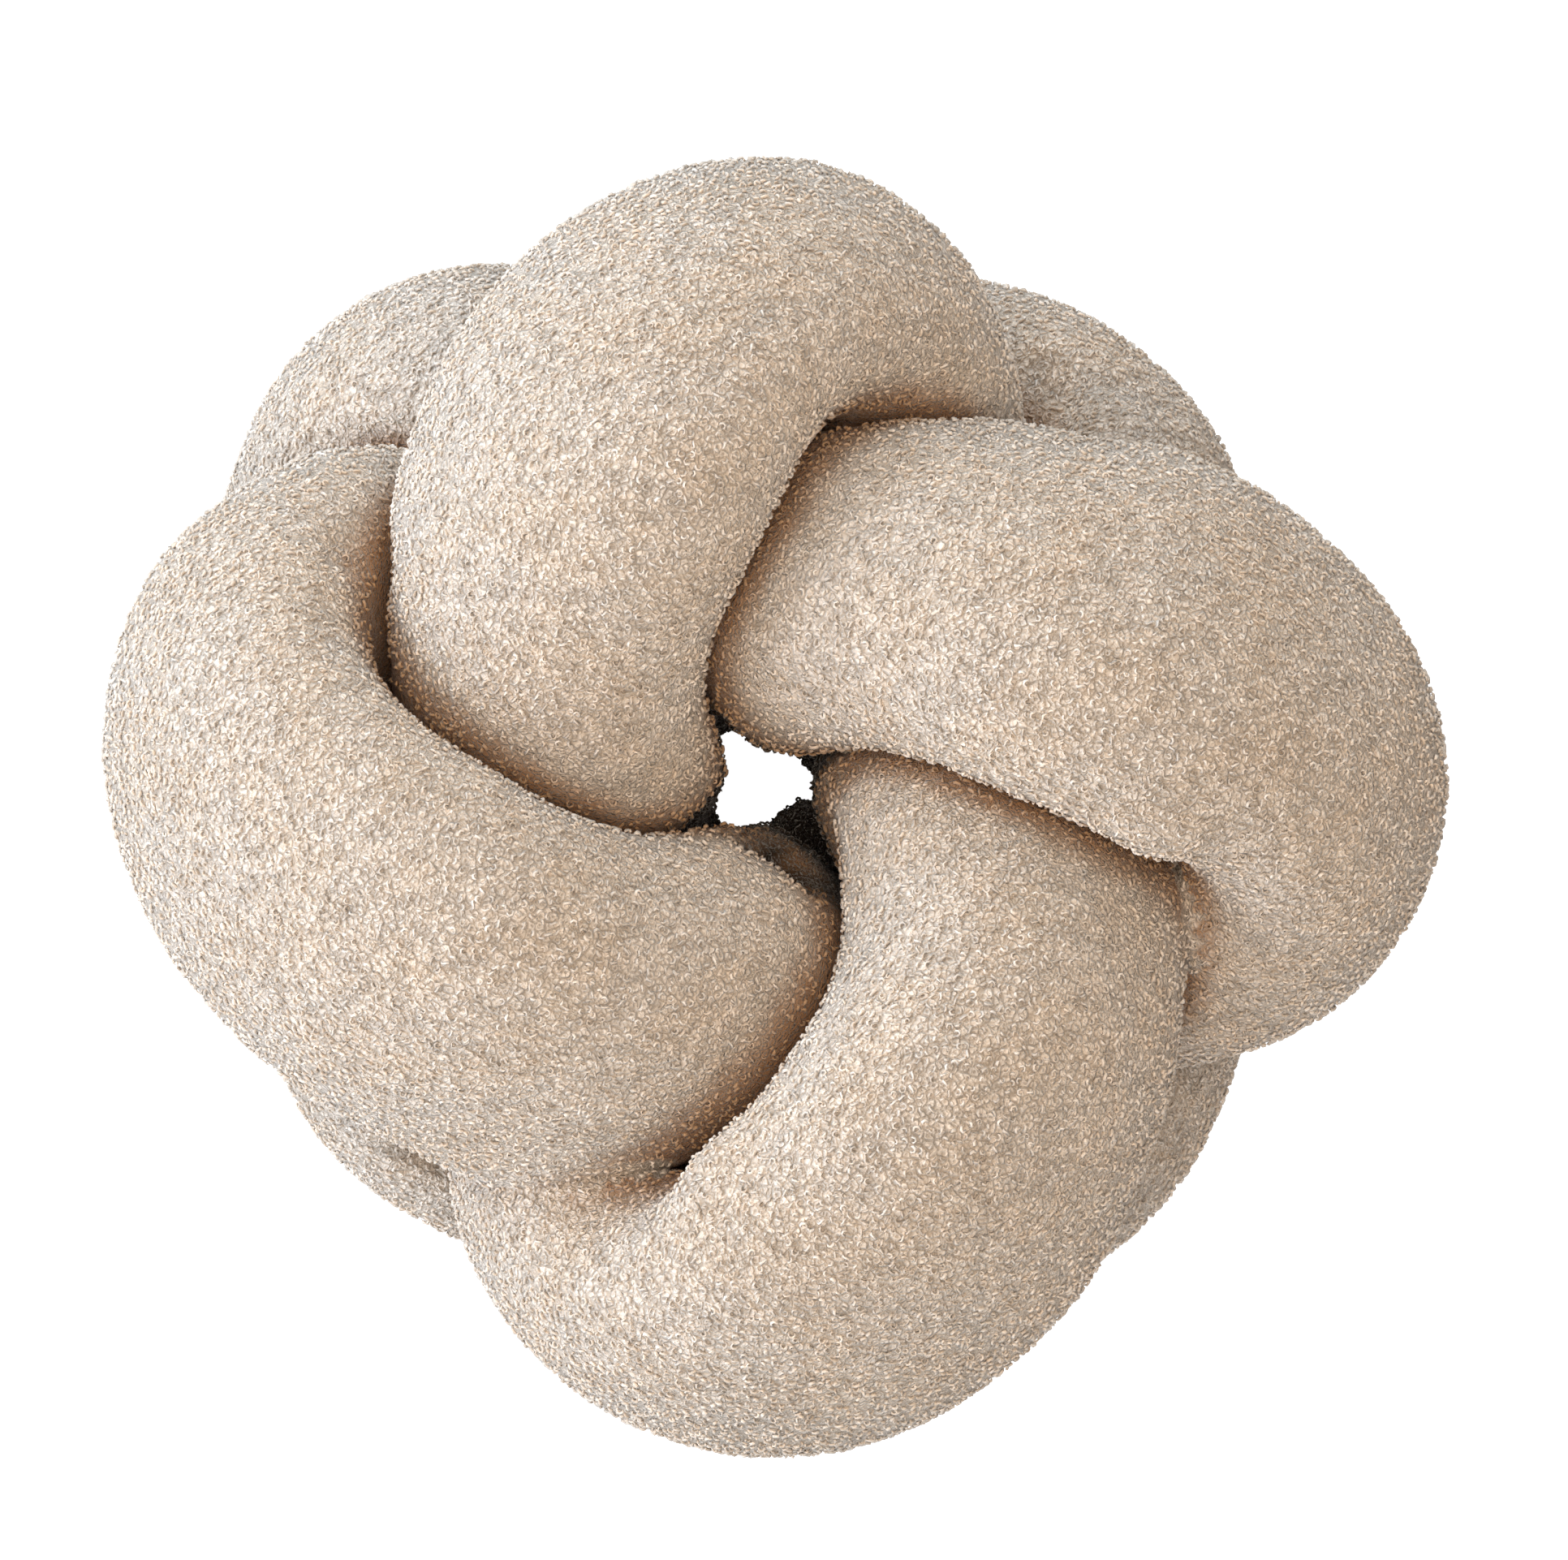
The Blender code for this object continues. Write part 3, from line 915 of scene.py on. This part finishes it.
def pile_tree():
    """Curls of yarn scattered over one stretch of the cloth."""
    tree = bpy.data.node_groups.new("lay_pile", "GeometryNodeTree")
    sockets = tree.interface
    sockets.new_socket("Geometry", in_out="INPUT", socket_type="NodeSocketGeometry")
    sockets.new_socket("Curls", in_out="INPUT", socket_type="NodeSocketCollection")
    sockets.new_socket("Stretch", in_out="INPUT", socket_type="NodeSocketInt")
    sockets.new_socket("Spacing", in_out="INPUT", socket_type="NodeSocketFloat")
    sockets.new_socket("Crowding", in_out="INPUT", socket_type="NodeSocketFloat")
    sockets.new_socket("Smallest", in_out="INPUT", socket_type="NodeSocketFloat")
    sockets.new_socket("Largest", in_out="INPUT", socket_type="NodeSocketFloat")
    sockets.new_socket("Lean", in_out="INPUT", socket_type="NodeSocketFloat")
    sockets.new_socket("Seed", in_out="INPUT", socket_type="NodeSocketInt")
    sockets.new_socket("Yarn", in_out="INPUT", socket_type="NodeSocketMaterial")
    sockets.new_socket("Geometry", in_out="OUTPUT", socket_type="NodeSocketGeometry")
    given = add_node(tree, "NodeGroupInput")
    result = add_node(tree, "NodeGroupOutput")
    links = tree.links

    mark = add_node(tree, "GeometryNodeInputNamedAttribute", data_type="INT")
    mark.inputs["Name"].default_value = "stretch"
    mine = add_node(tree, "FunctionNodeCompare", data_type="INT", operation="EQUAL")
    links.new(mark.outputs["Attribute"], mine.inputs["A"])
    links.new(given.outputs["Stretch"], mine.inputs["B"])
    share = add_node(tree, "GeometryNodeInputNamedAttribute", data_type="FLOAT")
    share.inputs["Name"].default_value = "pile_share"
    scatter = add_node(tree, "GeometryNodeDistributePointsOnFaces", distribute_method="POISSON")
    links.new(given.outputs["Geometry"], scatter.inputs["Mesh"])
    links.new(mine.outputs["Result"], scatter.inputs["Selection"])
    links.new(given.outputs["Spacing"], scatter.inputs["Distance Min"])
    links.new(given.outputs["Crowding"], scatter.inputs["Density Max"])
    links.new(share.outputs["Attribute"], scatter.inputs["Density Factor"])
    links.new(given.outputs["Seed"], scatter.inputs["Seed"])

    spin = add_node(tree, "FunctionNodeRandomValue", data_type="FLOAT_VECTOR")
    links.new(given.outputs["Seed"], spin.inputs["Seed"])
    lean_low = add_node(tree, "ShaderNodeCombineXYZ")
    lean_high = add_node(tree, "ShaderNodeCombineXYZ")
    opposite = add_node(tree, "ShaderNodeMath", operation="MULTIPLY")
    opposite.inputs[1].default_value = -1.0
    links.new(given.outputs["Lean"], opposite.inputs[0])
    for axis in ("X", "Y"):
        links.new(opposite.outputs["Value"], lean_low.inputs[axis])
        links.new(given.outputs["Lean"], lean_high.inputs[axis])
    lean_high.inputs["Z"].default_value = float(2 * np.pi)
    links.new(lean_low.outputs["Vector"], spin.inputs["Min"])
    links.new(lean_high.outputs["Vector"], spin.inputs["Max"])
    spun = add_node(tree, "FunctionNodeEulerToRotation")
    links.new(spin.outputs["Value"], spun.inputs["Euler"])
    turned = add_node(tree, "FunctionNodeRotateRotation", rotation_space="LOCAL")
    links.new(scatter.outputs["Rotation"], turned.inputs["Rotation"])
    links.new(spun.outputs["Rotation"], turned.inputs["Rotate By"])

    size = add_node(tree, "FunctionNodeRandomValue", data_type="FLOAT")
    links.new(given.outputs["Smallest"], size.inputs["Min"])
    links.new(given.outputs["Largest"], size.inputs["Max"])
    size_seed = add_node(tree, "ShaderNodeMath", operation="ADD")
    size_seed.inputs[1].default_value = SIZE_SEED
    links.new(given.outputs["Seed"], size_seed.inputs[0])
    links.new(size_seed.outputs["Value"], size.inputs["Seed"])
    curls = add_node(tree, "GeometryNodeCollectionInfo")
    curls.inputs["Separate Children"].default_value = True
    curls.inputs["Reset Children"].default_value = True
    links.new(given.outputs["Curls"], curls.inputs["Collection"])
    set_down = add_node(tree, "GeometryNodeInstanceOnPoints")
    set_down.inputs["Pick Instance"].default_value = True
    links.new(scatter.outputs["Points"], set_down.inputs["Points"])
    links.new(curls.outputs["Instances"], set_down.inputs["Instance"])
    links.new(turned.outputs["Rotation"], set_down.inputs["Rotation"])
    links.new(size.outputs["Value"], set_down.inputs["Scale"])

    tone = add_node(tree, "FunctionNodeRandomValue", data_type="FLOAT")
    tone_seed = add_node(tree, "ShaderNodeMath", operation="ADD")
    tone_seed.inputs[1].default_value = TONE_SEED
    links.new(given.outputs["Seed"], tone_seed.inputs[0])
    links.new(tone_seed.outputs["Value"], tone.inputs["Seed"])
    kept = add_node(tree, "GeometryNodeStoreNamedAttribute", data_type="FLOAT", domain="INSTANCE")
    kept.inputs["Name"].default_value = "yarn_tone"
    links.new(set_down.outputs["Instances"], kept.inputs["Geometry"])
    links.new(tone.outputs["Value"], kept.inputs["Value"])
    real = add_node(tree, "GeometryNodeRealizeInstances")
    links.new(kept.outputs["Geometry"], real.inputs["Geometry"])

    place = add_node(tree, "GeometryNodeInputPosition")
    parts = add_node(tree, "ShaderNodeSeparateXYZ")
    above = add_node(tree, "ShaderNodeMath", operation="MAXIMUM")
    above.inputs[1].default_value = 0.0
    joined = add_node(tree, "ShaderNodeCombineXYZ")
    on_floor = add_node(tree, "GeometryNodeSetPosition")
    links.new(place.outputs["Position"], parts.inputs["Vector"])
    links.new(parts.outputs["X"], joined.inputs["X"])
    links.new(parts.outputs["Y"], joined.inputs["Y"])
    links.new(parts.outputs["Z"], above.inputs[0])
    links.new(above.outputs["Value"], joined.inputs["Z"])
    links.new(real.outputs["Geometry"], on_floor.inputs["Geometry"])
    links.new(joined.outputs["Vector"], on_floor.inputs["Position"])
    coloured = add_node(tree, "GeometryNodeSetMaterial")
    links.new(on_floor.outputs["Geometry"], coloured.inputs["Geometry"])
    links.new(given.outputs["Yarn"], coloured.inputs["Material"])
    links.new(coloured.outputs["Geometry"], result.inputs["Geometry"])
    return tree


lay_pile = pile_tree()
print("tree:", lay_pile.name, len(lay_pile.nodes), "nodes")

# %% Lay the pile, one stretch at a time
PILE = {
    "Curls": curl_box,
    "Spacing": 0.0022,
    "Crowding": 500000.0,
    "Smallest": 0.8,
    "Largest": 1.2,
    "Lean": 0.3,
    "Yarn": curl_yarn,
}
FIRST_SEED = 7


def socket_ids(tree):
    """The identifier of each named input."""
    return {item.name: item.identifier for item in tree.interface.items_tree if item.in_out == "INPUT"}


def lay_stretch(number):
    """The pile on one stretch of the cloth, as a plain mesh piece."""
    holder = bpy.data.objects.new(f"boucle_pile_{number + 1}", cloth.data)
    bpy.context.scene.collection.objects.link(holder)
    laying = holder.modifiers.new("lay pile", "NODES")
    laying.node_group = lay_pile
    ids = socket_ids(lay_pile)
    for name, value in {**PILE, "Stretch": number, "Seed": FIRST_SEED + number}.items():
        laying[ids[name]] = value
    graph = bpy.context.evaluated_depsgraph_get()
    mesh = bpy.data.meshes.new_from_object(holder.evaluated_get(graph))
    holder.modifiers.remove(laying)
    holder.data = mesh
    mesh.name = holder.name
    triangles = sum(len(face.vertices) - 2 for face in mesh.polygons)
    print(holder.name, triangles, "triangles")
    return holder, triangles


piles = []
total = len(cloth.data.polygons) * 2
for number in range(STRETCHES):
    pile, triangles = lay_stretch(number)
    piles.append(pile)
    total += triangles
print("all pieces:", total, "triangles")

# %% [markdown]
# ## Fitting the pieces to the frame
# Every piece moves with the one body, and all of them stand for the solid tube, which stays hidden. The small
# models of the curls have done their work and go.

# %% Put each piece on the body, hide the tube and remove the curl models
for piece in (cloth, *piles):
    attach(piece, "root")
    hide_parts("knot_tube")
for curl in list(curl_box.objects):
    bpy.data.objects.remove(curl)
bpy.data.collections.remove(curl_box)

# %% [markdown]
# ## Floor and light
# The cushion was shot on bright white, with soft light mostly from the left and from above. So large soft lights
# stand round its left side, one hangs over it, a weak one fills in from the right, and the sky adds a little.
# The floor glows to the camera alone, as a lit backdrop does, so that it is white through the hole without
# lighting the cushion.

# %% Floor
FLOOR_HALF = 3.0
FLOOR_CORNERS = ((-1, -1), (1, -1), (1, 1), (-1, 1))
FLOOR_PAINT = {
    "Base Color": (0.5, 0.5, 0.5, 1.0),
    "Roughness": 0.9,
    "Specular IOR Level": 0.0,
    "Emission Color": (1.0, 1.0, 1.0, 1.0),
}

floor_points = np.array([[x * FLOOR_HALF, y * FLOOR_HALF, 0] for x, y in FLOOR_CORNERS])
floor = mesh_piece("floor", floor_points, [(0, 1, 2, 3)])
floor_paint = bpy.data.materials.new("floor_white")
floor_paint.use_nodes = True
floor_shader = floor_paint.node_tree.nodes["Principled BSDF"]
for socket, value in FLOOR_PAINT.items():
    floor_shader.inputs[socket].default_value = value
floor_glow = add_node(floor_paint.node_tree, "ShaderNodeLightPath")
floor_paint.node_tree.links.new(floor_glow.outputs["Is Camera Ray"], floor_shader.inputs["Emission Strength"])
floor.data.materials.append(floor_paint)
floor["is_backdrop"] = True

# %% Lights, a row each: its bearing and height in degrees as seen from the cushion, its power and its colour
LAMP_DISTANCE = 2.6
LAMP_SIDE = 1.4
Lamp = namedtuple("Lamp", "name bearing height power colour")
LAMPS = (
    Lamp("left", 180, 20, 60.0, (0.84, 0.90, 1.0)),
    Lamp("upper left", 135, 20, 32.0, (0.64, 0.83, 1.0)),
    Lamp("lower left", 225, 20, 23.0, (0.64, 0.83, 1.0)),
    Lamp("top", 90, 20, 30.0, (0.86, 0.94, 1.0)),
    Lamp("bottom", 270, 20, 20.0, (0.93, 0.96, 1.0)),
    Lamp("right", 0, 10, 9.0, (1.0, 0.95, 0.90)),
    Lamp("overhead", 0, 90, 54.0, (1.0, 0.84, 0.67)),
)
cushion_middle = Vector((0, 0, MIDDLE_HEIGHT))
for lamp in LAMPS:
    light = bpy.data.lights.new(lamp.name, "AREA")
    light.size = LAMP_SIDE
    light.energy = lamp.power
    light.color = lamp.colour
    hung = bpy.data.objects.new(lamp.name, light)
    bearing, height = np.radians(lamp.bearing), np.radians(lamp.height)
    away = Vector((np.cos(height) * np.cos(bearing), np.cos(height) * np.sin(bearing), np.sin(height)))
    hung.location = cushion_middle + away * LAMP_DISTANCE
    hung.rotation_euler = (cushion_middle - hung.location).to_track_quat("-Z", "Y").to_euler()
    hung.visible_camera = False
    bpy.context.scene.collection.objects.link(hung)
    print(lamp.name, lamp.power, "W")

# %% Sky and colour
SKY_COLOUR = (1.0, 0.98, 0.95, 1.0)
SKY_STRENGTH = 0.18

world = bpy.data.worlds.new("studio")
world.use_nodes = True
sky = world.node_tree.nodes["Background"]
sky.inputs["Color"].default_value = SKY_COLOUR
sky.inputs["Strength"].default_value = SKY_STRENGTH
bpy.context.scene.world = world
bpy.context.scene.view_settings.view_transform = "Standard"

# %% Sizes and finish
low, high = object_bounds()
print("visual box:", [round(x, 4) for x in (*low, *high)])
